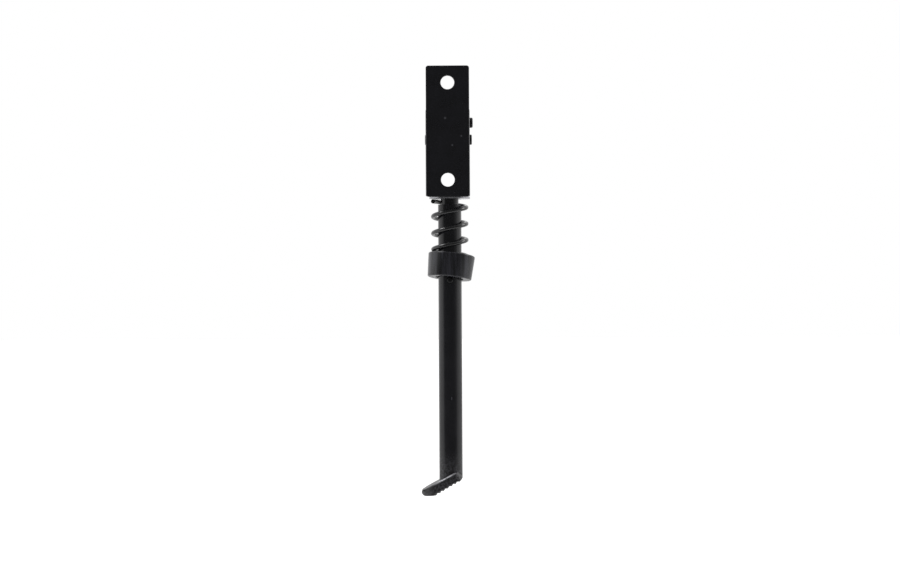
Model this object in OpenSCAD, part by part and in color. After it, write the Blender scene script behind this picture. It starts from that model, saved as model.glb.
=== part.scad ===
// Folding side stand for an electric scooter, in its folded position, in millimetres.
// The origin is the middle of the two screw holes, on the face that lies against the scooter.
// +Z is up and -Y points out of that face. The leg hangs along -Z and folds out towards +Y.

/* [Bracket] */
// Thickness of the folded steel sheet
sheet_t = 2; // [1.6:0.1:2.2]
// Height of the mounting face
face_h = 63.4; // [62.6:0.2:70]
// Width of the plain upper end of the face
face_w = 21; // [18:0.1:21.3]
// Radius of the face's four corners
face_corner_r = 1.2; // [0.5:0.1:2]
// Distance between the two screw holes
hole_spacing = 47; // [45:0.5:47.6]
// Diameter of the screw holes, clearance for M6
hole_d = 6.6; // [5:0.1:7]
// Width across the outside of the two cheeks
channel_w = 21.4; // [21.2:0.1:24]
// Outer radius of the folds between face and cheeks
fold_r = 1.6; // [1:0.1:2.4]
// Height of the cheeks' top edge above the middle of the holes
cheek_top = 10.2; // [8.8:0.2:14]

/* [Pivot] */
// Height of the pivot below the middle of the screw holes
pivot_drop = 3.4; // [3:0.1:4.2]
// Distance of the pivot behind the mounting face
pivot_depth = 12.6; // [12.6:0.1:15]
// Diameter of the pivot pin
pivot_d = 5; // [4:0.1:5.6]
// How far the pivot pin stands out of the right cheek
pivot_proud = 1.1; // [0.3:0.1:1.5]
// How far the pivot pin stands out of the left cheek
pivot_proud_left = 0.4; // [0.3:0.1:1.5]
// Diameter of the stop pin
stop_d = 5; // [4:0.1:5.2]
// How far the stop pin stands out of the right cheek
stop_proud = 1.6; // [0.3:0.1:2]
// Distance of the stop pin behind the pivot
stop_back = 4; // [3:0.1:6]
// Thickness of the thrust washer to the left of the fork, which sets the leg a little to the right
thrust_left_t = 2; // [0.8:0.1:2.2]
// Thickness of the thrust washer to the right of the fork
thrust_right_t = 0.4; // [0.4:0.1:0.8]
// Outer diameter of the thrust washers
thrust_d = 10.6; // [8:0.1:11.4]
// Radial running clearance of the pivot
running_gap = 0.05; // [0.02:0.01:0.1]
// Radial clearance of a pin that is pressed in
press_gap = 0.01; // [0.005:0.005:0.02]
// Side clearance of each thrust washer
side_gap = 0.1; // [0.05:0.05:0.15]
// Clearance between parts that seat or slide on each other
seat_gap = 0.2; // [0.1:0.05:0.25]
// Chamfer at the ends of the pivot pin
pivot_chamfer = 0.3; // [0.1:0.1:0.5]
// Chamfer at the ends of the stop pin
stop_chamfer = 0.4; // [0.1:0.1:0.6]

/* [Leg] */
// Diameter of the leg's rod
rod_d = 11.4; // [10:0.1:11.6]
// Diameter of the neck between rod and fork
neck_d = 8.7; // [7:0.1:9.5]
// Distance of the rod's shoulder below the fork
neck_l = 4; // [2:0.5:6]
// Width of the fork's arms, front to back
fork_w = 11.8; // [10:0.1:12]
// Thickness of each arm of the fork
fork_t = 2.6; // [2:0.1:3.4]
// Thickness of the fork's root under its slot
fork_root_t = 4.3; // [3:0.1:4.4]
// Distance from the middle of the screw holes down to the bend of the foot
leg_reach = 166.4; // [130:0.2:190]

/* [Foot] */
// Slope of the foot below level
foot_slope = 30.2; // [22:0.2:38]
// Length of the foot from the bend to its tip
foot_l = 17.2; // [14:0.1:24]
// Width of the foot at its tip, front to back
foot_w = 14; // [13.6:0.2:16]
// How far the foot stands out in front of and behind the rod
foot_lip = 1.2; // [0.4:0.1:1.4]
// Thickness of the foot at its tip, with the teeth
foot_t = 5.5; // [5:0.1:7]
// How much thinner the foot is at the bend
foot_taper = 0.6; // [0:0.1:1.2]
// How far the foot's top lies above the centre of the bend, at its tip
foot_rise = 0.3; // [-0.2:0.1:1.2]
// Angle between the teeth and the worn-level underside of the tip
foot_level = 25; // [20:1:35]
// Distance between the teeth
tooth_pitch = 2.2; // [1.8:0.1:3]
// Depth of the teeth
tooth_h = 0.7; // [0.4:0.05:1]
// Chamfer along the foot's lower edges
foot_chamfer = 1.2; // [0.8:0.1:2.2]

/* [Spring] */
// Diameter of the spring wire
wire_d = 2.1; // [1.6:0.1:2.2]
// Outer diameter of the spring
spring_d = 18.4; // [17.6:0.1:18.5]
// Rise of the spring in one turn
spring_pitch = 7.95; // [6:0.05:10]
// Direction in which the spring's upper end meets the seat washer
spring_phase = 134; // [0:1:359]
// Diameter of the washer between cheeks and spring
seat_d = 20; // [19:0.1:20.2]
// Thickness of that washer
seat_t = 1; // [0.8:0.1:1.4]
// How much wider that washer's hole is than the rod
seat_play = 0.4; // [0.3:0.1:0.6]
// Clearance between the fork's underside and that washer
washer_gap = 0.15; // [0.1:0.01:0.2]

/* [Cup] */
// Height of the spring cup
cup_h = 11.8; // [10:0.1:14]
// Outer diameter at the cup's rim
cup_rim_d = 22.8; // [22.8:0.1:25]
// Outer diameter at the cup's base
cup_base_d = 21.5; // [21.2:0.1:23]
// Diameter of the hole in the cup's floor
cup_bore_d = 13.6; // [13.4:0.1:14.2]
// Thickness of the cup's floor
cup_floor_t = 2.8; // [2:0.1:3.5]
// Inner diameter at the rim
cup_mouth_d = 20.8; // [20.6:0.1:20.9]
// Inner diameter at the floor
cup_well_d = 19.4; // [19.3:0.1:19.8]
// Radius of the cup's outer edges
cup_edge_r = 0.7; // [0.3:0.1:0.8]
// Distance from the middle of the screw holes down to the middle of the cup
cup_drop = 65.3; // [60:0.1:75]
// How far the cup is tipped to the right
cup_tip_right = 6.2; // [0:0.2:6.4]
// How far the cup's front is tipped up
cup_tip_back = 6.4; // [0:0.2:6.8]
// How far the cup sits to the right of the rod's middle
cup_shift = 0.3; // [0:0.1:0.4]
// Diameter of the peg that holds the cup up
peg_d = 2.8; // [2.6:0.1:4]
// How far the peg stands out of the rod
peg_proud = 2.6; // [2:0.1:3.4]
// Depth of the peg's hole in the rod
peg_depth = 5; // [3:0.5:7]
// Chamfer at the peg's free end
peg_chamfer = 0.4; // [0.1:0.1:0.6]

/* [Hidden] */
// How far a cutting shape passes the surface that it cuts
cut_over = 1;
$fn = 64;
BLACK = [0.09, 0.09, 0.1];
STEEL = [0.16, 0.16, 0.17];
PLATED = [0.5, 0.5, 0.51];
NYLON = [0.13, 0.13, 0.14];

// Pivot line, which the leg and all that it carries are centred on
leg_x = (thrust_left_t - thrust_right_t) / 2;
leg_y = pivot_depth;
pivot_z = -pivot_drop;
stop_z = pivot_z + fork_w / 2 + stop_d / 2 + seat_gap;
channel_in = channel_w - 2 * sheet_t;

// The fork's slot leaves the view through the lower screw hole free
slot_bottom = -hole_spacing / 2 - hole_d / 2 - running_gap;
fork_bottom = slot_bottom - fork_root_t;
fork_x = (channel_in - thrust_left_t - thrust_right_t) / 2 - 2 * side_gap;
slot_r = fork_x - fork_t;
cam_r = pivot_z - fork_bottom - seat_gap / 2;
flange_bottom = pivot_z - cam_r;
cheek_back = leg_y + cam_r;
cheek_nose_top = pivot_z + cam_r * 0.3;

// Spring and its two seats
seat_top = fork_bottom - washer_gap;
spring_r = (spring_d - wire_d) / 2;
spring_top = seat_top - seat_t - seat_gap / 4 - wire_d / 2;
cup_lean = spring_r * (sin(cup_tip_right) + sin(cup_tip_back)) * 0.72;
spring_bottom = -cup_drop - cup_h / 2 + cup_floor_t + cup_lean + seat_gap + wire_d / 2;
top_span = 52;
bottom_span = 240;
open_span = (spring_top - spring_bottom) / spring_pitch * 360;
ring_step = 15;
wire_sides = 10;

// Peg under the front of the cup's floor
cup_front = rod_d / 2 + peg_proud / 2;
cup_under = -cup_drop - cup_h / 2 * cos(cup_tip_back) * cos(cup_tip_right) + cup_front * tan(cup_tip_back);
peg_z = cup_under - peg_d / 2 - seat_gap;

// Foot, in its own plane: X runs from the bend to the tip, Y is square to its teeth
foot_back = -4;
foot_under = foot_rise - foot_t;
nose_r = 1.7;
heel_r = 4.5;

module rounded_rect(w, h, r) {
    for (x = [-w / 2 + r, w / 2 - r], z = [-h / 2 + r, h / 2 - r])
        translate([x, z]) circle(r, $fn = 32);
    square([w - 2 * r, h], center = true);
    square([w, h - 2 * r], center = true);
}

module along_x(d, from, to) {
    translate([from, 0, 0]) rotate([0, 90, 0]) cylinder(d = d, h = to - from);
}

// A turned pin along X with a small chamfer at both ends
module pin(d, from, to, chamfer) {
    rotate([0, 90, 0]) rotate_extrude() polygon([
        [0, from], [d / 2 - chamfer, from], [d / 2, from + chamfer],
        [d / 2, to - chamfer], [d / 2 - chamfer, to], [0, to]
    ]);
}

module at_pivot() {
    translate([0, leg_y, pivot_z]) children();
}

module at_stop() {
    translate([0, leg_y + stop_back, stop_z]) children();
}

// Side view of one cheek: X is depth behind the face, Y is height
module cheek_outline() {
    intersection() {
        union() {
            polygon([
                [0, cheek_top], [leg_y + stop_back + stop_d, cheek_top],
                [cheek_back, cheek_nose_top], [cheek_back, pivot_z],
                [leg_y, pivot_z], [leg_y, flange_bottom], [0, flange_bottom]
            ]);
            translate([leg_y, pivot_z]) intersection() {
                circle(cam_r, $fn = 128);
                translate([0, -cam_r]) square([cam_r, cam_r]);
            }
        }
        translate([0, flange_bottom]) square([cheek_back, cheek_top - flange_bottom]);
    }
}

// Top view of the folded sheet, with round outer folds
module channel_section(depth) {
    translate([-channel_w / 2, 0]) difference() {
        union() {
            translate([fold_r, 0]) square([channel_w - 2 * fold_r, depth]);
            translate([0, fold_r]) square([channel_w, depth - fold_r]);
            for (x = [fold_r, channel_w - fold_r])
                translate([x, fold_r]) circle(fold_r, $fn = 48);
        }
        translate([sheet_t, sheet_t]) square([channel_in, depth]);
    }
}

module bracket() {
    color(BLACK) difference() {
        union() {
            translate([0, sheet_t, 0]) rotate([90, 0, 0]) linear_extrude(sheet_t)
                rounded_rect(face_w, face_h, face_corner_r);
            intersection() {
                translate([0, 0, flange_bottom])
                    linear_extrude(cheek_top - flange_bottom) channel_section(cheek_back);
                translate([-channel_w / 2, 0, 0]) rotate([90, 0, 90])
                    linear_extrude(channel_w) cheek_outline();
            }
        }
        for (z = [-hole_spacing / 2, hole_spacing / 2])
            translate([0, sheet_t + cut_over, z]) rotate([90, 0, 0])
                cylinder(d = hole_d, h = sheet_t + 2 * cut_over);
        at_pivot() along_x(pivot_d + 2 * press_gap, -channel_w, channel_w);
        at_stop() along_x(stop_d + 2 * press_gap, -channel_w, channel_w);
    }
}

module pivot_pin() {
    color(STEEL) at_pivot()
        pin(pivot_d, -channel_w / 2 - pivot_proud_left, channel_w / 2 + pivot_proud, pivot_chamfer);
}

module stop_pin() {
    color(STEEL) at_stop()
        pin(stop_d, -channel_w / 2, channel_w / 2 + stop_proud, stop_chamfer);
}

module thrust_washer(from, to) {
    color(NYLON) at_pivot() difference() {
        along_x(thrust_d, from, to);
        along_x(pivot_d + 2 * running_gap, -channel_w, channel_w);
    }
}

module thrust_washer_left() {
    wall = -channel_in / 2 + side_gap;
    thrust_washer(wall, wall + thrust_left_t);
}

module thrust_washer_right() {
    wall = channel_in / 2 - side_gap;
    thrust_washer(wall - thrust_right_t, wall);
}

// Fork that straddles the way to the lower screw, with round ends about the pivot
module fork() {
    fork_h = pivot_z - fork_bottom;
    difference() {
        translate([leg_x - fork_x, leg_y, pivot_z]) rotate([90, 0, 90]) linear_extrude(2 * fork_x) {
            circle(d = fork_w, $fn = 96);
            translate([-fork_w / 2, -fork_h]) square([fork_w, fork_h]);
        }
        translate([leg_x, leg_y + fork_w, slot_bottom + slot_r]) rotate([90, 0, 0])
            cylinder(r = slot_r, h = 2 * fork_w);
        translate([leg_x - slot_r, leg_y - fork_w, slot_bottom + slot_r])
            cube([2 * slot_r, 2 * fork_w, fork_h + fork_w]);
        at_pivot() along_x(pivot_d + 2 * running_gap, -channel_w, channel_w);
    }
}

// Teeth and round nose of the foot, seen from the front in its own plane
module foot_profile() {
    nose = [foot_l - nose_r, foot_rise - nose_r];
    nose_end = nose + nose_r * [sin(foot_level), -cos(foot_level)];
    first_tooth = nose_end[0] - (nose_end[1] - foot_under) / tan(foot_level);
    teeth = floor((first_tooth - foot_back) / tooth_pitch);
    polygon(concat(
        [[foot_back, foot_rise - foot_taper]],
        [for (a = [90:-5:foot_level - 90]) nose + nose_r * [cos(a), sin(a)]],
        [for (i = [0:teeth - 1], rise = [0, 1])
            [first_tooth - (i + rise / 2) * tooth_pitch, foot_under + rise * tooth_h]],
        [[first_tooth - teeth * tooth_pitch, foot_under], [foot_back, foot_under + tooth_h]]
    ));
}

// The foot's plan: a little wider than the rod at the bend and round at the nose
module foot_plan() {
    heel_w = rod_d / 2 + foot_lip;
    nose_u = foot_l - foot_w / 2;
    translate([nose_u, 0]) circle(d = foot_w, $fn = 96);
    for (side = [-1, 1])
        translate([foot_back + heel_r, side * (heel_w - heel_r)]) circle(heel_r);
    polygon([
        [foot_back + heel_r, heel_w], [nose_u, foot_w / 2], [nose_u, -foot_w / 2], [foot_back + heel_r, -heel_w],
        [foot_back, heel_r - heel_w], [foot_back, heel_w - heel_r]
    ]);
}

// Section of the foot across its length, with chamfered lower edges
module foot_section() {
    polygon([
        [-foot_w / 2, foot_rise], [-foot_w / 2, foot_under + foot_chamfer],
        [-foot_w / 2 + foot_chamfer, foot_under], [foot_w / 2 - foot_chamfer, foot_under],
        [foot_w / 2, foot_under + foot_chamfer], [foot_w / 2, foot_rise]
    ]);
}

module at_foot() {
    translate([leg_x, leg_y, -leg_reach]) rotate([0, -foot_slope, 0]) rotate([0, 0, 180]) children();
}

module foot() {
    at_foot() intersection() {
        translate([0, foot_w, 0]) rotate([90, 0, 0]) linear_extrude(2 * foot_w) foot_profile();
        translate([0, 0, -foot_t * 2]) linear_extrude(foot_t * 4) foot_plan();
        translate([-foot_l, 0, 0]) rotate([90, 0, 90]) linear_extrude(3 * foot_l) foot_section();
    }
}

module leg() {
    shoulder = fork_bottom - neck_l;
    color(BLACK) difference() {
        union() {
            fork();
            translate([leg_x, leg_y, shoulder]) cylinder(d = neck_d, h = neck_l + fork_root_t / 2);
            difference() {
                translate([leg_x, leg_y, -leg_reach - rod_d]) cylinder(d = rod_d, h = shoulder + leg_reach + rod_d);
                at_foot() translate([-2 * foot_l, -foot_l, foot_under + tooth_h - 2 * foot_l])
                    cube([4 * foot_l, 2 * foot_l, 2 * foot_l]);
            }
            foot();
        }
        translate([leg_x, leg_y - rod_d / 2 + peg_depth, peg_z]) rotate([90, 0, 0])
            cylinder(d = peg_d + 2 * press_gap, h = peg_depth + cut_over);
    }
}

module cup_peg() {
    color(STEEL) translate([leg_x, leg_y - rod_d / 2 + peg_depth, peg_z]) rotate([90, 0, 0]) {
        cylinder(d = peg_d, h = peg_depth + peg_proud - peg_chamfer);
        translate([0, 0, peg_depth + peg_proud - peg_chamfer])
            cylinder(d1 = peg_d, d2 = peg_d - 2 * peg_chamfer, h = peg_chamfer);
    }
}

// Half section of the cup: X is radius, Y is height above its middle
module cup_section() {
    base = -cup_h / 2;
    rim = cup_h / 2;
    base_r = cup_base_d / 2 - cup_edge_r;
    rim_r = cup_rim_d / 2 - cup_edge_r;
    polygon(concat(
        [[cup_bore_d / 2, base]],
        [for (a = [-90:15:0]) [base_r, base + cup_edge_r] + cup_edge_r * [cos(a), sin(a)]],
        [for (a = [0:15:90]) [rim_r, rim - cup_edge_r] + cup_edge_r * [cos(a), sin(a)]],
        [[cup_mouth_d / 2, rim], [cup_well_d / 2, base + cup_floor_t], [cup_bore_d / 2, base + cup_floor_t]]
    ));
}

module spring_cup() {
    color(NYLON) translate([leg_x + cup_shift, leg_y, -cup_drop]) rotate([-cup_tip_back, cup_tip_right, 0])
        rotate_extrude($fn = 96) cup_section();
}

module seat_washer() {
    color(PLATED) translate([leg_x, leg_y, seat_top - seat_t]) difference() {
        cylinder(d = seat_d, h = seat_t);
        translate([0, 0, -cut_over]) cylinder(d = rod_d + seat_play, h = seat_t + 2 * cut_over);
    }
}

// Height of the wire's centre: the angle a is 0 where the upper end meets its seat, and less below
function wire_z(a) = spring_top - spring_pitch * min(max(-a, 0), open_span) / 360;
function wire_point(a, s) =
    let (side = s * 360 / wire_sides, r = spring_r + wire_d / 2 * cos(side), turn = spring_phase + a)
    [r * cos(turn), r * sin(turn), wire_z(a) + wire_d / 2 * sin(side)];

module spring() {
    whole = bottom_span + open_span + top_span;
    rings = ceil(whole / ring_step);
    points = [for (i = [0:rings], s = [0:wire_sides - 1]) wire_point(top_span - whole + i * whole / rings, s)];
    walls = [for (i = [0:rings - 1], s = [0:wire_sides - 1])
        let (a = i * wire_sides, b = a + wire_sides, n = (s + 1) % wire_sides) [a + s, a + n, b + n, b + s]];
    caps = [[for (s = [wire_sides - 1:-1:0]) s], [for (s = [0:wire_sides - 1]) rings * wire_sides + s]];
    color(STEEL) translate([leg_x, leg_y, 0]) polyhedron(points, concat(walls, caps), convexity = 12);
}

bracket();
pivot_pin();
stop_pin();
thrust_washer_left();
thrust_washer_right();
leg();
cup_peg();
spring_cup();
spring();
seat_washer();
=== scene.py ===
# %% [markdown]
# # A folding side stand for an electric scooter
#
# This lesson dresses a small steel mechanism: a folded bracket, a swinging leg with a
# toothed foot, a coil spring and a moulded cup. Almost all of it is black, so the look
# comes from gloss: what each surface mirrors, and how softly. Every piece is modelled at
# its real size in metres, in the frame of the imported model.

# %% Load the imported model
import math

import bmesh
import bpy
from mathutils import Matrix, Vector


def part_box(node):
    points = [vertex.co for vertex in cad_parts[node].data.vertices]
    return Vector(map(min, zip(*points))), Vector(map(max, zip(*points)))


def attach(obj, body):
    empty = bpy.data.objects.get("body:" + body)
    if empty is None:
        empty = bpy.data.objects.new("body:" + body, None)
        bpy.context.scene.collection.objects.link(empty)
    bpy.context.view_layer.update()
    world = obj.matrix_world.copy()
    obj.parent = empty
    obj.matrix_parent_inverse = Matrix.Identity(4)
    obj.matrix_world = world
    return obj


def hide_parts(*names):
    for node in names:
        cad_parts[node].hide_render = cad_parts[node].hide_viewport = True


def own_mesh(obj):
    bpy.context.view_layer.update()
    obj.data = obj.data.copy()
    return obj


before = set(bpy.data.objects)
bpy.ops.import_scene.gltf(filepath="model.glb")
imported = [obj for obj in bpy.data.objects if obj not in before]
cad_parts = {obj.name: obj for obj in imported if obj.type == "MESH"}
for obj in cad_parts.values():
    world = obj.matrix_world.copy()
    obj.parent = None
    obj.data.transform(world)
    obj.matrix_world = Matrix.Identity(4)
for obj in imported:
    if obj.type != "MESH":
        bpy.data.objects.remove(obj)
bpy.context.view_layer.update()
MM = 0.001
print("pieces in the packed model:", sorted(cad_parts))

# %% [markdown]
# The stand is seen square on, against plain white. Its two screw holes give the scale, and
# the camera stands one metre away. The picture is 900 pixels wide, so the camera's field
# of view follows from the size of one pixel at the mounting face. The point midway
# between the holes is the origin, and its place in the picture says where to aim.

# %% Camera
PICTURE_W = 900
PICTURE_H = 563
PIXEL = 0.4827 * MM
HOLES_MIDDLE_PX = (448.4, 131.0)
SENSOR_MM = 36
CAMERA_DISTANCE = 1.0
CAMERA_ROLL = math.radians(0.3)


def make_camera():
    """Places the camera square on, with the holes where the picture has them."""
    camera = bpy.data.objects.new("camera", bpy.data.cameras.new("camera"))
    bpy.context.scene.collection.objects.link(camera)
    camera.data.sensor_width = SENSOR_MM
    camera.data.lens = SENSOR_MM * CAMERA_DISTANCE / (PICTURE_W * PIXEL)
    x = (PICTURE_W / 2 - HOLES_MIDDLE_PX[0]) * PIXEL
    z = (HOLES_MIDDLE_PX[1] - PICTURE_H / 2) * PIXEL
    camera.matrix_world = (
        Matrix.Translation((x, -CAMERA_DISTANCE, z))
        @ Matrix.Rotation(CAMERA_ROLL, 4, "Y")
        @ Matrix.Rotation(math.pi / 2, 4, "X")
    )
    bpy.context.scene.camera = camera
    return camera


camera = make_camera()
bpy.context.scene.view_settings.view_transform = "Standard"
print("camera lens in mm:", round(camera.data.lens, 1))

# %% [markdown]
# ## Colours and nodes
#
# A few small helpers serve every finish. One turns an sRGB hex colour into the linear
# numbers that shaders expect. Another adds a node with its settings, its links and, for a
# colour ramp, its stops. A Mix node has sockets of the same name for each kind of data, so
# the ones for colours are picked by number.


# %% Helpers for materials
MIX_FACTOR = 0
MIX_A = 6
MIX_B = 7
MIX_RESULT = 2


def srgb(code):
    """Turns a colour such as '#202124' into linear red, green, blue and alpha."""
    parts = [int(code[i : i + 2], 16) / 255 for i in (1, 3, 5)]
    linear = [p / 12.92 if p <= 0.04045 else ((p + 0.055) / 1.055) ** 2.4 for p in parts]
    return (*linear, 1.0)


def add_node(tree, kind, settings=None, inputs=None, stops=()):
    """Adds a node with its properties, values and ramp stops, and links inputs given as sockets."""
    node = tree.nodes.new(kind)
    for name, value in (settings or {}).items():
        setattr(node, name, value)
    for name, value in (inputs or {}).items():
        if isinstance(value, bpy.types.NodeSocket):
            tree.links.new(value, node.inputs[name])
        else:
            node.inputs[name].default_value = value
    for i, (position, colour) in enumerate(stops):
        node.color_ramp.elements[i].position = position
        node.color_ramp.elements[i].color = srgb(colour)
    return node


def tree_and_shader(material):
    """A material's node tree and its Principled shader."""
    return material.node_tree, material.node_tree.nodes["Principled BSDF"]


def new_material(name):
    """Starts a material with one Principled shader."""
    material = bpy.data.materials.new(name)
    material.use_nodes = True
    print("material:", name)
    return material


def fed_by(shader, name):
    """The socket that feeds an input of a shader now."""
    return shader.inputs[name].links[0].from_socket


# %% [markdown]
# ## Satin powder coat
#
# Bracket and leg are steel with black powder coat: a thin cured plastic skin, smooth but
# not polished. To the eye it is near black from the front and mirrors the bright studio
# softly at grazing angles. A plain black shader would look like painted card, so three
# things break it up: wide clouds in tone and gloss, a faint orange-peel ripple about a
# millimetre across, and tiny specks of pale dust. Real dust is finer than a pixel here,
# so its specks are drawn about half a millimetre wide.


# %% Powder coat
CLOUD_SIZE = 9 * MM
SPECK_SPACING = 3.4 * MM
PEEL_SIZE = 0.9 * MM
PEEL_HEIGHT = 0.1 * MM


def powder_coat(name, base, cloudy, dusty, roughness):
    """Satin black coat with orange peel, uneven gloss and fine specks of dust."""
    material = new_material(name)
    tree, shader = tree_and_shader(material)
    place = add_node(tree, "ShaderNodeTexCoord").outputs["Object"]
    clouds = add_node(tree, "ShaderNodeTexNoise",
                      inputs={"Vector": place, "Scale": 1 / CLOUD_SIZE, "Detail": 3.0})
    cloud = add_node(tree, "ShaderNodeValToRGB", inputs={"Fac": clouds.outputs["Fac"]},
                     stops=[(0.35, base), (0.75, cloudy)])
    specks = add_node(tree, "ShaderNodeTexVoronoi", {"feature": "F1"},
                      {"Vector": place, "Scale": 1 / SPECK_SPACING, "Randomness": 1.0})
    speck = add_node(tree, "ShaderNodeValToRGB", inputs={"Fac": specks.outputs["Distance"]},
                     stops=[(0.0, dusty), (0.07, base)])
    colour = add_node(tree, "ShaderNodeMix", {"data_type": "RGBA", "blend_type": "LIGHTEN"},
                      {MIX_FACTOR: 1.0, MIX_A: speck.outputs["Color"],
                       MIX_B: cloud.outputs["Color"]})
    tree.links.new(colour.outputs[MIX_RESULT], shader.inputs["Base Color"])
    gloss = add_node(tree, "ShaderNodeMapRange",
                     inputs={"Value": clouds.outputs["Fac"], "From Min": 0.3, "From Max": 0.7,
                             "To Min": roughness - 0.03, "To Max": roughness + 0.05})
    tree.links.new(gloss.outputs["Result"], shader.inputs["Roughness"])
    peel = add_node(tree, "ShaderNodeTexNoise",
                    inputs={"Vector": place, "Scale": 1 / PEEL_SIZE, "Detail": 1.0})
    bump = add_node(tree, "ShaderNodeBump",
                    inputs={"Height": peel.outputs["Fac"], "Strength": 0.05,
                            "Distance": PEEL_HEIGHT})
    tree.links.new(bump.outputs["Normal"], shader.inputs["Normal"])
    shader.inputs["IOR"].default_value = 1.5
    return material


# %% [markdown]
# ## Dust at set places
#
# A few larger specks of dust lie on the mounting face, and the rod has one small pale
# mark. They could be painted on an image, but a few soft spots need none: each is the
# distance from a point, turned into a round mask.


# %% Settled dust
FACE_DUST = [(-1.2 * MM, 0, 6.3 * MM, 0.75 * MM), (6.6 * MM, 0, -2.4 * MM, 0.6 * MM),
             (2.2 * MM, 0, -6.8 * MM, 0.6 * MM)]
ROD_MARK = [(1.3 * MM, 6.9 * MM, z * MM, 0.45 * MM) for z in (-129.9, -129.5, -129.1)]


def settle_dust(material, spots, dusty):
    """Adds pale spots with soft edges, each given by its place and its radius."""
    tree, shader = tree_and_shader(material)
    place = add_node(tree, "ShaderNodeTexCoord").outputs["Object"]
    for x, y, z, radius in spots:
        away = add_node(tree, "ShaderNodeVectorMath", {"operation": "DISTANCE"},
                        {0: place, 1: (x, y, z)})
        spot = add_node(tree, "ShaderNodeMapRange", {"interpolation_type": "SMOOTHSTEP"},
                        {"Value": away.outputs["Value"], "From Min": radius,
                         "From Max": 0.3 * radius})
        colour = add_node(tree, "ShaderNodeMix", {"data_type": "RGBA"},
                          {MIX_FACTOR: spot.outputs["Result"],
                           MIX_A: fed_by(shader, "Base Color"), MIX_B: srgb(dusty)})
        tree.links.new(colour.outputs[MIX_RESULT], shader.inputs["Base Color"])
    print(material.name, "spots of dust:", len(spots))


BRACKET_COAT = powder_coat("bracket_powder_coat", "#121217", "#19191f", "#5a5a60", 0.28)
settle_dust(BRACKET_COAT, FACE_DUST, "#5a5a60")
LEG_COAT = powder_coat("leg_powder_coat", "#151519", "#1c1c20", "#48484e", 0.2)
settle_dust(LEG_COAT, ROD_MARK, "#48484e")

# %% [markdown]
# ## The forged foot
#
# The foot was forged, and its scaly skin shows through the coat: to the eye it is
# mottled, dull and grainy, while the rod above it stays smooth. A second material would
# leave a hard line between them. Instead, a mask that fades in over the last part of the
# leg blends the grain into the same coat. Finer grain would be lost in the picture, so it
# is drawn about a millimetre wide.


# %% Forged skin
FOOT_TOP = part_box("leg")[0][2] + 23 * MM
FOOT_FADE = 12 * MM
GRAIN_SIZE = 0.9 * MM
GRAIN_DEPTH = 0.3 * MM


def roughen_foot(material):
    """Lets the forged steel show through the coat on the foot."""
    tree, shader = tree_and_shader(material)
    place = add_node(tree, "ShaderNodeTexCoord").outputs["Object"]
    height = add_node(tree, "ShaderNodeSeparateXYZ", inputs={"Vector": place}).outputs["Z"]
    mask = add_node(tree, "ShaderNodeMapRange",
                    inputs={"Value": height, "From Min": FOOT_TOP,
                            "From Max": FOOT_TOP - FOOT_FADE}).outputs["Result"]
    grain = add_node(tree, "ShaderNodeTexNoise",
                     inputs={"Vector": place, "Scale": 1 / GRAIN_SIZE, "Detail": 2.0,
                             "Roughness": 0.6}).outputs["Fac"]
    tone = add_node(tree, "ShaderNodeValToRGB", inputs={"Fac": grain},
                    stops=[(0.42, "#060608"), (0.6, "#3c3c40")])
    mottled = add_node(tree, "ShaderNodeMix", {"data_type": "RGBA"},
                       {MIX_FACTOR: mask, MIX_A: fed_by(shader, "Base Color"),
                        MIX_B: tone.outputs["Color"]})
    tree.links.new(mottled.outputs[MIX_RESULT], shader.inputs["Base Color"])
    duller = add_node(tree, "ShaderNodeMath", {"operation": "MULTIPLY_ADD"},
                      {0: mask, 1: 0.16, 2: fed_by(shader, "Roughness")})
    tree.links.new(duller.outputs["Value"], shader.inputs["Roughness"])
    strength = add_node(tree, "ShaderNodeMath", {"operation": "MULTIPLY"}, {0: mask, 1: 0.9})
    pits = add_node(tree, "ShaderNodeBump",
                    inputs={"Height": grain, "Strength": strength.outputs["Value"],
                            "Distance": GRAIN_DEPTH, "Normal": fed_by(shader, "Normal")})
    tree.links.new(pits.outputs["Normal"], shader.inputs["Normal"])


roughen_foot(LEG_COAT)
print("forged skin starts at height:", round(FOOT_TOP, 4))

# %% [markdown]
# ## The painted edge highlight
#
# Along the foot's top front edge a thin bright line is painted in: a painted highlight,
# made of a bright metallic grey in the coat. An edge mask from the mesh would light
# every edge of the foot. This one is a thin layer just under the sloping plane of the
# foot's top, cut off behind the front and short of the nose, so it follows that one edge.
# Each limit below runs from where none of the highlight is painted to where all of it is.


# %% Painted edge highlight
PAD_SLOPE = math.radians(28.4)
PAD_NORMAL = (-math.sin(PAD_SLOPE), 0, math.cos(PAD_SLOPE))
PAD_POINT = (0.45 * MM, 0, -166.79 * MM)
PAD_LEVEL = sum(n * p for n, p in zip(PAD_NORMAL, PAD_POINT))
# Limits of the painted highlight along the foot's top front edge.
HIGHLIGHT_BELOW = (PAD_LEVEL - 0.9 * MM, PAD_LEVEL - 0.4 * MM)
HIGHLIGHT_ABOVE = (PAD_LEVEL + 0.2 * MM, PAD_LEVEL + 0.05 * MM)
HIGHLIGHT_BEHIND = (7.2 * MM, 6.5 * MM)
HIGHLIGHT_NOSE = (-9 * MM, -4 * MM)


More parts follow.
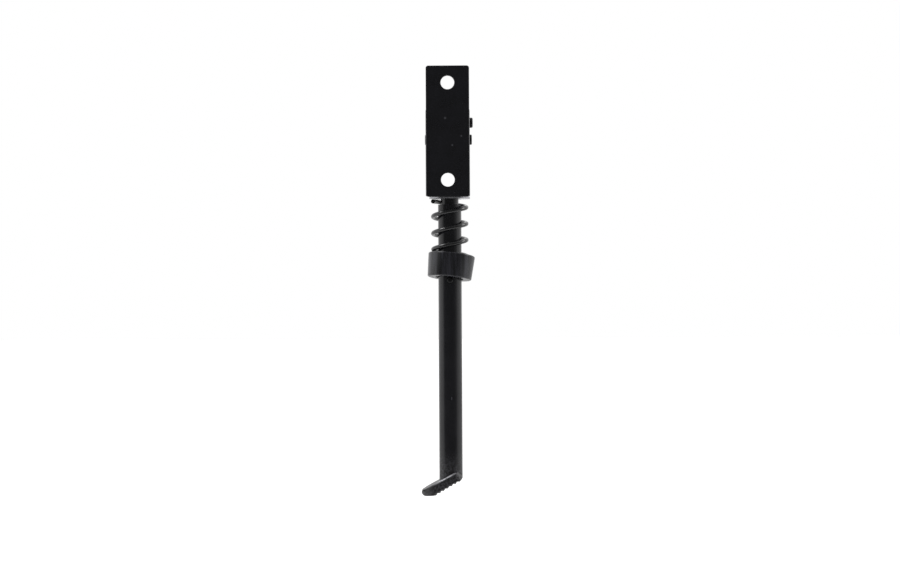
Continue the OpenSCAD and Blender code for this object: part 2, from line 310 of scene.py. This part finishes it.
def paint_edge_highlight(material, steel):
    """Paints a bright metallic highlight where four soft limits meet."""
    tree, shader = tree_and_shader(material)
    place = add_node(tree, "ShaderNodeTexCoord").outputs["Object"]
    parts = add_node(tree, "ShaderNodeSeparateXYZ", inputs={"Vector": place})
    level = add_node(tree, "ShaderNodeVectorMath", {"operation": "DOT_PRODUCT"},
                     {0: place, 1: PAD_NORMAL}).outputs["Value"]
    limits = ((level, HIGHLIGHT_BELOW), (level, HIGHLIGHT_ABOVE),
              (parts.outputs["Y"], HIGHLIGHT_BEHIND), (parts.outputs["X"], HIGHLIGHT_NOSE))
    highlight_mask = 1.0
    for value, (nothing, full) in limits:
        mask = add_node(tree, "ShaderNodeMapRange", {"interpolation_type": "SMOOTHSTEP"},
                        {"Value": value, "From Min": nothing, "From Max": full})
        highlight_mask = add_node(tree, "ShaderNodeMath", {"operation": "MULTIPLY"},
                        {0: highlight_mask, 1: mask.outputs["Result"]}).outputs["Value"]
    # The steel colour is the painted highlight's bright metallic grey, not worn coat.
    colour = add_node(tree, "ShaderNodeMix", {"data_type": "RGBA"},
                      {MIX_FACTOR: highlight_mask, MIX_A: fed_by(shader, "Base Color"),
                       MIX_B: srgb(steel)})
    tree.links.new(colour.outputs[MIX_RESULT], shader.inputs["Base Color"])
    tree.links.new(highlight_mask, shader.inputs["Metallic"])


# Painted highlight: a thin line of bright metallic grey along the foot's top front edge.
paint_edge_highlight(LEG_COAT, "#a0a0a4")
print("painted edge highlight lies under the plane at:", round(PAD_LEVEL, 4))

# %% [markdown]
# ## Lacquered spring wire and blackened pins
#
# The spring is drawn wire under a thin glossy lacquer, so its turns carry small bright
# lights. The pins are steel with a thin dark electro-coat: black, a little rougher than
# the lacquer, and with less shine than a thick coat. One function makes both, because
# only the colour, the gloss and the size of the streaks differ. Drawing and turning leave
# streaks that are finer than a pixel, so they are drawn about a millimetre wide.


# %% Wire lacquer and electro-coat
def thin_coat(name, base, roughness, streak_size, shine):
    """Thin coat over drawn or turned steel, with faint streaks in tone and gloss."""
    material = new_material(name)
    tree, shader = tree_and_shader(material)
    place = add_node(tree, "ShaderNodeTexCoord").outputs["Object"]
    streaks = add_node(tree, "ShaderNodeTexNoise",
                       inputs={"Vector": place, "Scale": 1 / streak_size, "Detail": 4.0})
    tone = add_node(tree, "ShaderNodeValToRGB", inputs={"Fac": streaks.outputs["Fac"]},
                    stops=[(0.3, base), (0.8, "#242426")])
    tree.links.new(tone.outputs["Color"], shader.inputs["Base Color"])
    gloss = add_node(tree, "ShaderNodeMapRange",
                     inputs={"Value": streaks.outputs["Fac"], "From Min": 0.3, "From Max": 0.7,
                             "To Min": roughness - 0.04, "To Max": roughness + 0.06})
    tree.links.new(gloss.outputs["Result"], shader.inputs["Roughness"])
    shader.inputs["IOR"].default_value = 1.65
    shader.inputs["Specular IOR Level"].default_value = shine
    return material


WIRE_LACQUER = thin_coat("spring_wire_lacquer", "#121214", 0.1, 1.5 * MM, 0.5)
PIN_COAT = thin_coat("pin_electro_coat", "#08080a", 0.35, 0.8 * MM, 0.15)

# %% [markdown]
# ## Zinc plate
#
# The washer on which the spring seats is zinc plated. It is the only bright piece, and its
# rim shows as a pale line under the bracket. A grey metal with a low roughness mirrors the
# white room, and a fine bloom keeps it from looking like chrome.


# %% Zinc plate
BLOOM_SIZE = 2 * MM


def zinc_plate(name):
    """Dull zinc plate: a grey metal with a fine uneven bloom."""
    material = new_material(name)
    tree, shader = tree_and_shader(material)
    place = add_node(tree, "ShaderNodeTexCoord").outputs["Object"]
    bloom = add_node(tree, "ShaderNodeTexNoise",
                     inputs={"Vector": place, "Scale": 1 / BLOOM_SIZE, "Detail": 4.0})
    tone = add_node(tree, "ShaderNodeValToRGB", inputs={"Fac": bloom.outputs["Fac"]},
                    stops=[(0.3, "#8c8c90"), (0.7, "#b4b4b8")])
    tree.links.new(tone.outputs["Color"], shader.inputs["Base Color"])
    shader.inputs["Metallic"].default_value = 1.0
    shader.inputs["Roughness"].default_value = 0.12
    return material


WASHER_PLATE = zinc_plate("washer_zinc_plate")

# %% [markdown]
# ## Moulded nylon
#
# The cup and the two thrust washers are moulded from black nylon. It is a shade paler
# than the coats, its gloss is broad and soft, and faint streaks run along the draw of
# the mould. The streaks are a noise that is stretched along Z. Real ones are finer than
# the picture can show, so they are drawn about two millimetres wide.


# %% Nylon
STREAK_SIZE = 1.9 * MM
STREAK_STRETCH = 0.06
STREAK_DEPTH = 0.25 * MM


def moulded_nylon(name, base, pale, roughness):
    """Black nylon with soft gloss and streaks along the mould's draw, which is Z."""
    material = new_material(name)
    tree, shader = tree_and_shader(material)
    place = add_node(tree, "ShaderNodeTexCoord").outputs["Object"]
    stretch = add_node(tree, "ShaderNodeMapping",
                       inputs={"Vector": place, "Scale": (1.0, 1.0, STREAK_STRETCH)})
    streak = add_node(tree, "ShaderNodeTexNoise",
                      inputs={"Vector": stretch.outputs["Vector"], "Scale": 1 / STREAK_SIZE,
                              "Detail": 2.0}).outputs["Fac"]
    tone = add_node(tree, "ShaderNodeValToRGB", inputs={"Fac": streak},
                    stops=[(0.4, base), (0.62, pale)])
    tree.links.new(tone.outputs["Color"], shader.inputs["Base Color"])
    gloss = add_node(tree, "ShaderNodeMapRange",
                     inputs={"Value": streak, "From Min": 0.3, "From Max": 0.7,
                             "To Min": roughness - 0.06, "To Max": roughness + 0.06})
    tree.links.new(gloss.outputs["Result"], shader.inputs["Roughness"])
    bump = add_node(tree, "ShaderNodeBump",
                    inputs={"Height": streak, "Strength": 0.35, "Distance": STREAK_DEPTH})
    tree.links.new(bump.outputs["Normal"], shader.inputs["Normal"])
    shader.inputs["IOR"].default_value = 1.53
    return material


CUP_NYLON = moulded_nylon("cup_nylon", "#131317", "#34343b", 0.27)
WASHER_NYLON = moulded_nylon("washer_nylon", "#19191c", "#2c2c31", 0.4)

# %% [markdown]
# ## Crisp steel edges
#
# No real edge is perfectly sharp, and on black steel the thin light along an edge is most
# of what the eye reads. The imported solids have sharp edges, so each piece starts as a
# copy of its solid: doubles are merged, flat faces are joined, and only the sharp edges
# get a small round of the size that coat or tumbling leaves. A Bevel modifier could do
# this, but while it keeps rounds from overlapping, one short edge shrinks them all. Here
# they may overlap, and a corner that this pushes out is put back into the solid's own box.


# %% Copies of the solids
SAME_PLACE = 0.002 * MM
FLAT = math.radians(0.6)


def finish_piece(name, mesh, material, node, body):
    """Links a piece at the origin, with its material, under its body, and hides its node."""
    piece = bpy.data.objects.new(name, mesh)
    bpy.context.scene.collection.objects.link(piece)
    mesh.materials.clear()
    mesh.materials.append(material)
    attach(piece, body)
    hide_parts(node)
    return piece


def solid_copy(node):
    """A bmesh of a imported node, merged, with its flat faces joined."""
    bm = bmesh.new()
    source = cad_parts[node]
    bm.from_mesh(source.data)
    bm.transform(source.matrix_world)
    bmesh.ops.remove_doubles(bm, verts=bm.verts, dist=SAME_PLACE)
    bmesh.ops.dissolve_limit(bm, angle_limit=FLAT, verts=bm.verts, edges=bm.edges)
    return bm


def to_mesh(bm, name, smooth_deg=40):
    """Turns a bmesh into a mesh that shades smooth, apart from edges past the limit."""
    for face in bm.faces:
        face.smooth = True
    for edge in bm.edges:
        edge.smooth = not edge.is_manifold or edge.calc_face_angle(0) < math.radians(smooth_deg)
    mesh = bpy.data.meshes.new(name)
    bm.to_mesh(mesh)
    bm.free()
    return mesh


# %% Rounded edges
SHARP = math.radians(28)
ROUND_SEGMENTS = 3


def round_edges(bm, edges, width, segments):
    """Rounds the given edges, also where the rounds run into each other."""
    bmesh.ops.bevel(bm, geom=edges, offset=width, offset_type="OFFSET", affect="EDGES",
                    segments=segments, profile=0.5, material=-1, clamp_overlap=False)


def merge_crumbs(bm, verts, size):
    """Joins corners closer than a size, because a crumb of an edge spoils its rounding."""
    bmesh.ops.remove_doubles(bm, verts=verts, dist=size)
    bmesh.ops.dissolve_degenerate(bm, edges=bm.edges, dist=size / 10)


def rounded_piece(name, node, body, material, width, prepare=None):
    """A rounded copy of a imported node, with its own preparation before the rounding."""
    bm = solid_copy(node)
    if prepare:
        prepare(bm)
    sharp = [e for e in bm.edges if e.is_manifold and e.calc_face_angle(0) > SHARP]
    round_edges(bm, sharp, width, ROUND_SEGMENTS)
    low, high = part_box(node)
    for vert in bm.verts:
        vert.co = [min(max(vert.co[i], low[i]), high[i]) for i in range(3)]
    print(f"{name}: {len(sharp)} sharp edges rounded, {len(bm.faces)} faces")
    piece = finish_piece(name, to_mesh(bm, name), material, node, body)
    normals = piece.modifiers.new("flat faces stay flat", "WEIGHTED_NORMAL")
    normals.keep_sharp = True
    return piece


# %% [markdown]
# ## The bracket
#
# The bracket is one sheet, folded into a channel and coated after folding, so its edges
# are soft. The folds end in very short edges, where a round would turn to spikes. They
# are joined first, which moves no corner by more than a fifth of a millimetre.


# %% Bracket
SHEET_CRUMB = 0.2 * MM
SHEET_ROUND = 0.35 * MM


def prepare_bracket(bm):
    """Joins the very short edges at the ends of the folds."""
    merge_crumbs(bm, bm.verts, SHEET_CRUMB)


rounded_piece("bracket_coated", "bracket", "mount", BRACKET_COAT, SHEET_ROUND,
              prepare=prepare_bracket)

# %% [markdown]
# ## The leg
#
# The leg is a forging with a long straight rod. Two things need care. The rod's faces are
# as long as the rod, and such thin strips shade unevenly, so rings are cut round it. The
# foot's top edge is softer than the rest, so it gets a wider round before the others do.


# %% Leg
FOOT_HEIGHT = 13 * MM
FOOT_CRUMB = 0.15 * MM
FOOT_ROUND = 0.8 * MM
FOOT_ROUND_SEGMENTS = 5
SHORTEST_FOOT_EDGE = 0.3 * MM
STEEP = math.radians(50)
TOP_FACING = 0.7
FIRST_RING = 13.6 * MM
RING_STEP = 9 * MM
RING_COUNT = 14
RING_SNAP = 1e-7
FORGED_ROUND = 0.15 * MM


def cut_rings(bm, low):
    """Cuts level rings round the rod, from just above the foot upwards."""
    for i in range(RING_COUNT):
        everything = list(bm.verts) + list(bm.edges) + list(bm.faces)
        bmesh.ops.bisect_plane(bm, geom=everything, dist=RING_SNAP,
                               plane_co=(0, 0, low + FIRST_RING + RING_STEP * i),
                               plane_no=(0, 0, 1))


def is_foot_top_edge(edge, foot_top):
    """Whether an edge is a steep outer one of the foot, beside a face that looks up."""
    if not edge.is_manifold or not edge.is_convex or edge.calc_face_angle(0) < STEEP:
        return False
    looks_up = max(face.normal.z for face in edge.link_faces) > TOP_FACING
    in_foot = max(vert.co.z for vert in edge.verts) < foot_top
    return looks_up and in_foot and edge.calc_length() > SHORTEST_FOOT_EDGE


def prepare_leg(bm):
    """Joins the foot's crumbs, cuts the rod's rings and rounds the foot's top edge."""
    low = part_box("leg")[0][2]
    foot_top = low + FOOT_HEIGHT
    merge_crumbs(bm, [v for v in bm.verts if v.co.z < foot_top], FOOT_CRUMB)
    cut_rings(bm, low)
    top_edges = [edge for edge in bm.edges if is_foot_top_edge(edge, foot_top)]
    round_edges(bm, top_edges, FOOT_ROUND, FOOT_ROUND_SEGMENTS)
    print("foot top edges:", len(top_edges))


rounded_piece("leg_coated", "leg", "leg", LEG_COAT, FORGED_ROUND,
              prepare=prepare_leg)

# %% [markdown]
# ## Cup, pins and washers
#
# The small pieces need no preparation of their own, only rounds of the right size.
# Moulding leaves the cup's edges wide and soft. The turned pins and the two thin thrust
# washers are only broken at their edges, and the seat washer was tumbled a little more.

# %% Small pieces
MOULDED_ROUND = 0.4 * MM
TURNED_ROUND = 0.08 * MM
TUMBLED_ROUND = 0.15 * MM
THIN_ROUND = 0.08 * MM

rounded_piece("cup_moulded", "spring_cup", "leg", CUP_NYLON, MOULDED_ROUND)
rounded_piece("pivot_pin_blackened", "pivot_pin", "mount", PIN_COAT, TURNED_ROUND)
rounded_piece("stop_pin_blackened", "stop_pin", "mount", PIN_COAT, TURNED_ROUND)
rounded_piece("cup_peg_blackened", "cup_peg", "leg", PIN_COAT, TURNED_ROUND)
rounded_piece("seat_washer_plated", "seat_washer", "seat", WASHER_PLATE,
              TUMBLED_ROUND)
for side in ("left", "right"):
    node = "thrust_washer_" + side
    rounded_piece(node + "_moulded", node, "mount", WASHER_NYLON, THIN_ROUND)

# %% [markdown]
# ## The path of the coil
#
# Drawn wire wound right-handed: its front passes rise from left to right, and each end
# turn lies flat against its seat. The path is a height for each angle of turn. It climbs
# evenly over the open turns and is level over the end turns, with a soft bend between.
# The spring is pressed a little unevenly, so its open turns sag on their left side.

# %% Path of the coil
seat_low, seat_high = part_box("seat_washer")
spring_low, spring_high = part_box("spring")
AXIS_X = (seat_low[0] + seat_high[0]) / 2
AXIS_Y = (seat_low[1] + seat_high[1]) / 2
WIRE_R = 1.05 * MM
COIL_R = 8.15 * MM
PITCH = 7.95 * MM
SAG = 0.8 * MM
BEND_RAD = 0.12
UPPER_JOIN = math.radians(134)
TOP_TURN = math.radians(52)
BOTTOM_TURN = math.radians(240)
COIL_BOTTOM = spring_low[2] + WIRE_R
COIL_TOP = spring_high[2] - WIRE_R
OPEN_TURN = (COIL_TOP - COIL_BOTTOM) / PITCH * math.tau
WHOLE_TURN = BOTTOM_TURN + OPEN_TURN + TOP_TURN


def eased(x):
    """Zero below zero and x above it, with a soft bend between."""
    return (x + math.sqrt(x * x + BEND_RAD * BEND_RAD)) / 2


def coil_height(turn):
    """Height of the wire's centre, with turn 0 where the upper end meets its seat."""
    drop = eased(-turn) - eased(-turn - OPEN_TURN)
    return COIL_TOP - PITCH / math.tau * min(drop, OPEN_TURN)


def coil_sag(turn, angle):
    """How far the open turns sag on their left side, and not at all where they are seated."""
    share = min(max(-turn / OPEN_TURN, 0), 1)
    return SAG * math.sin(math.pi * share) * (1 - math.cos(angle)) / 2


print("turns of the spring:", round(WHOLE_TURN / math.tau, 2))

# %% [markdown]
# ## The wire
#
# A curve with a round bevel could draw the wire, but its rings can twist along the way.
# Here one circle is extruded ring by ring, and each new ring is placed square to the path,
# with its first corner always facing away from the spring's axis. Both cut ends get a
# small round.

# %% Wire
RINGS_PER_TURN = 48
WIRE_SIDES = 20
WIRE_END_ROUND = 0.15 * MM
WIRE_END_SEGMENTS = 2
WIRE_SMOOTH_DEG = 50
STEP_RAD = 0.01


def place_ring(verts, turn):
    """Puts a ring of wire at its place on the coil, square to the path."""
    angle = UPPER_JOIN + turn
    out = Vector((math.cos(angle), math.sin(angle), 0))
    rise = (coil_height(turn + STEP_RAD) - coil_height(turn - STEP_RAD)) / (2 * STEP_RAD)
    along = Vector((-math.sin(angle) * COIL_R, math.cos(angle) * COIL_R, rise)).normalized()
    up = out.cross(along).normalized()
    height = coil_height(turn) - coil_sag(turn, angle)
    centre = Vector((AXIS_X, AXIS_Y, height)) + out * COIL_R
    for k, vert in enumerate(verts):
        a = math.tau * k / WIRE_SIDES
        vert.co = centre + (out * math.cos(a) + up * math.sin(a)) * WIRE_R


def extrude_ring(bm, old_verts, old_edges):
    """Extrudes a ring, and returns its new corners in the old order and its new edges."""
    made = bmesh.ops.extrude_edge_only(bm, edges=old_edges)["geom"]
    new = {g for g in made if isinstance(g, bmesh.types.BMVert)}
    verts = [next(e.other_vert(v) for e in v.link_edges if e.other_vert(v) in new)
             for v in old_verts]
    edges = [g for g in made if isinstance(g, bmesh.types.BMEdge) and set(g.verts) <= new]
    return verts, edges


def make_spring():
    """Extrudes a circle of wire along the coil."""
    rings = round(WHOLE_TURN / math.tau * RINGS_PER_TURN)
    bm = bmesh.new()
    verts = bmesh.ops.create_circle(bm, cap_ends=True, segments=WIRE_SIDES, radius=WIRE_R)["verts"]
    edges = list(bm.edges)
    place_ring(verts, TOP_TURN - WHOLE_TURN)
    for i in range(1, rings + 1):
        verts, edges = extrude_ring(bm, verts, edges)
        place_ring(verts, TOP_TURN - WHOLE_TURN + WHOLE_TURN * i / rings)
    bmesh.ops.contextual_create(bm, geom=edges)
    bmesh.ops.recalc_face_normals(bm, faces=bm.faces)
    rim = [e for f in bm.faces if len(f.verts) == WIRE_SIDES for e in f.edges]
    round_edges(bm, rim, WIRE_END_ROUND, WIRE_END_SEGMENTS)
    print("spring_wire:", len(bm.faces), "faces")
    return to_mesh(bm, "spring_wire", WIRE_SMOOTH_DEG)


spring = finish_piece("spring_wire", make_spring(), WIRE_LACQUER, "spring", "leg")
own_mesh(spring)

# %% [markdown]
# ## The white room
#
# Black gloss shows the room round it: bright bands where a surface turns away, and near
# black where it faces the lens. So the room does the lighting. It is white all round but
# dark behind the lens. On the left the white starts at a clear line, which gives the rod
# its crisp bright edge, and on the right it fades in slowly. An image of a studio could do
# this too, but two ramps over the direction need no file. Whatever the lens sees past the
# stand is plain white.


# %% White room
DARK_SIDE = 0.14
LEFT_WALL = (-0.52, -0.16)
RIGHT_WALL = (-0.85, 0.3)
CHANGE_OVER = 0.1


def make_world():
    """A white room that is dark behind the lens, and plain white for the lens itself."""
    world = bpy.data.worlds.new("studio")
    bpy.context.scene.world = world
    world.use_nodes = True
    tree = world.node_tree
    tree.nodes.clear()
    direction = add_node(tree, "ShaderNodeTexCoord").outputs["Generated"]
    parts = add_node(tree, "ShaderNodeSeparateXYZ", inputs={"Vector": direction})
    left, right = [
        add_node(tree, "ShaderNodeMapRange", {"interpolation_type": "SMOOTHSTEP"},
                 {"Value": parts.outputs["Y"], "From Min": dark, "From Max": bright,
                  "To Min": DARK_SIDE, "To Max": 1.0}).outputs["Result"]
        for dark, bright in (LEFT_WALL, RIGHT_WALL)
    ]
    is_right = add_node(tree, "ShaderNodeMapRange",
                        inputs={"Value": parts.outputs["X"], "From Min": -CHANGE_OVER,
                                "From Max": CHANGE_OVER})
    walls = add_node(tree, "ShaderNodeMix", {"data_type": "FLOAT"},
                     {"Factor": is_right.outputs["Result"], "A": left, "B": right})
    white = (1, 1, 1, 1)
    room = add_node(tree, "ShaderNodeBackground",
                    inputs={"Color": white, "Strength": walls.outputs["Result"]})
    backdrop = add_node(tree, "ShaderNodeBackground", inputs={"Color": white, "Strength": 1.0})
    seen = add_node(tree, "ShaderNodeLightPath").outputs["Is Camera Ray"]
    mix = add_node(tree, "ShaderNodeMixShader",
                   inputs={"Fac": seen, 1: room.outputs[0], 2: backdrop.outputs[0]})
    add_node(tree, "ShaderNodeOutputWorld", inputs={"Surface": mix.outputs[0]})


make_world()
print("world:", bpy.context.scene.world.name)

# %% [markdown]
# ## The floor
#
# A pale floor lies below the foot and takes the stand's shadow. It starts just in front
# of the stand, because the smooth rod would mirror a floor that reached the camera, and
# would turn paler towards the foot. A little glow that only the lens sees brings it up
# to white without more light on the stand.


# %% Floor
FLOOR_LEVEL = -0.26
FLOOR_FRONT = -0.25
FLOOR_HALF = 3.0
FLOOR_GLOW = 0.45


def make_floor():
    """A pale floor that reads as white but still takes the shadow."""
    bm = bmesh.new()
    bmesh.ops.create_grid(bm, x_segments=1, y_segments=1, size=FLOOR_HALF)
    bmesh.ops.translate(bm, verts=bm.verts, vec=(0, FLOOR_FRONT + FLOOR_HALF, FLOOR_LEVEL))
    floor = bpy.data.objects.new("floor", to_mesh(bm, "floor"))
    bpy.context.scene.collection.objects.link(floor)
    material = new_material("pale_floor")
    tree, shader = tree_and_shader(material)
    shader.inputs["Base Color"].default_value = srgb("#f4f4f4")
    shader.inputs["Roughness"].default_value = 0.9
    shader.inputs["Emission Color"].default_value = (1, 1, 1, 1)
    seen = add_node(tree, "ShaderNodeLightPath").outputs["Is Camera Ray"]
    glow = add_node(tree, "ShaderNodeMath", {"operation": "MULTIPLY"}, {0: seen, 1: FLOOR_GLOW})
    tree.links.new(glow.outputs[0], shader.inputs["Emission Strength"])
    floor.data.materials.append(material)


make_floor()
print("floor level:", FLOOR_LEVEL)

# %% [markdown]
# ## Two softboxes
#
# The room gives only broad light, and a glossy coat also shows small bright lights. So
# two square lamps are added: the key from the upper left, and a weaker fill from the
# upper right.


# %% Softboxes
STAND_MIDDLE = Vector((0, 0, -0.07))


def add_softbox(name, place, size, watts):
    """A square lamp that faces the middle of the stand."""
    lamp = bpy.data.lights.new(name, "AREA")
    lamp.size = size
    lamp.energy = watts
    box = bpy.data.objects.new(name, lamp)
    bpy.context.scene.collection.objects.link(box)
    box.location = place
    aim = STAND_MIDDLE - Vector(place)
    box.rotation_euler = aim.to_track_quat("-Z", "Y").to_euler()
    print(f"softbox {name}: {watts} W")


add_softbox("key", place=(-0.9, -0.25, 0.9), size=0.5, watts=5)
add_softbox("fill", place=(1.1, 0.1, 0.5), size=0.5, watts=3)
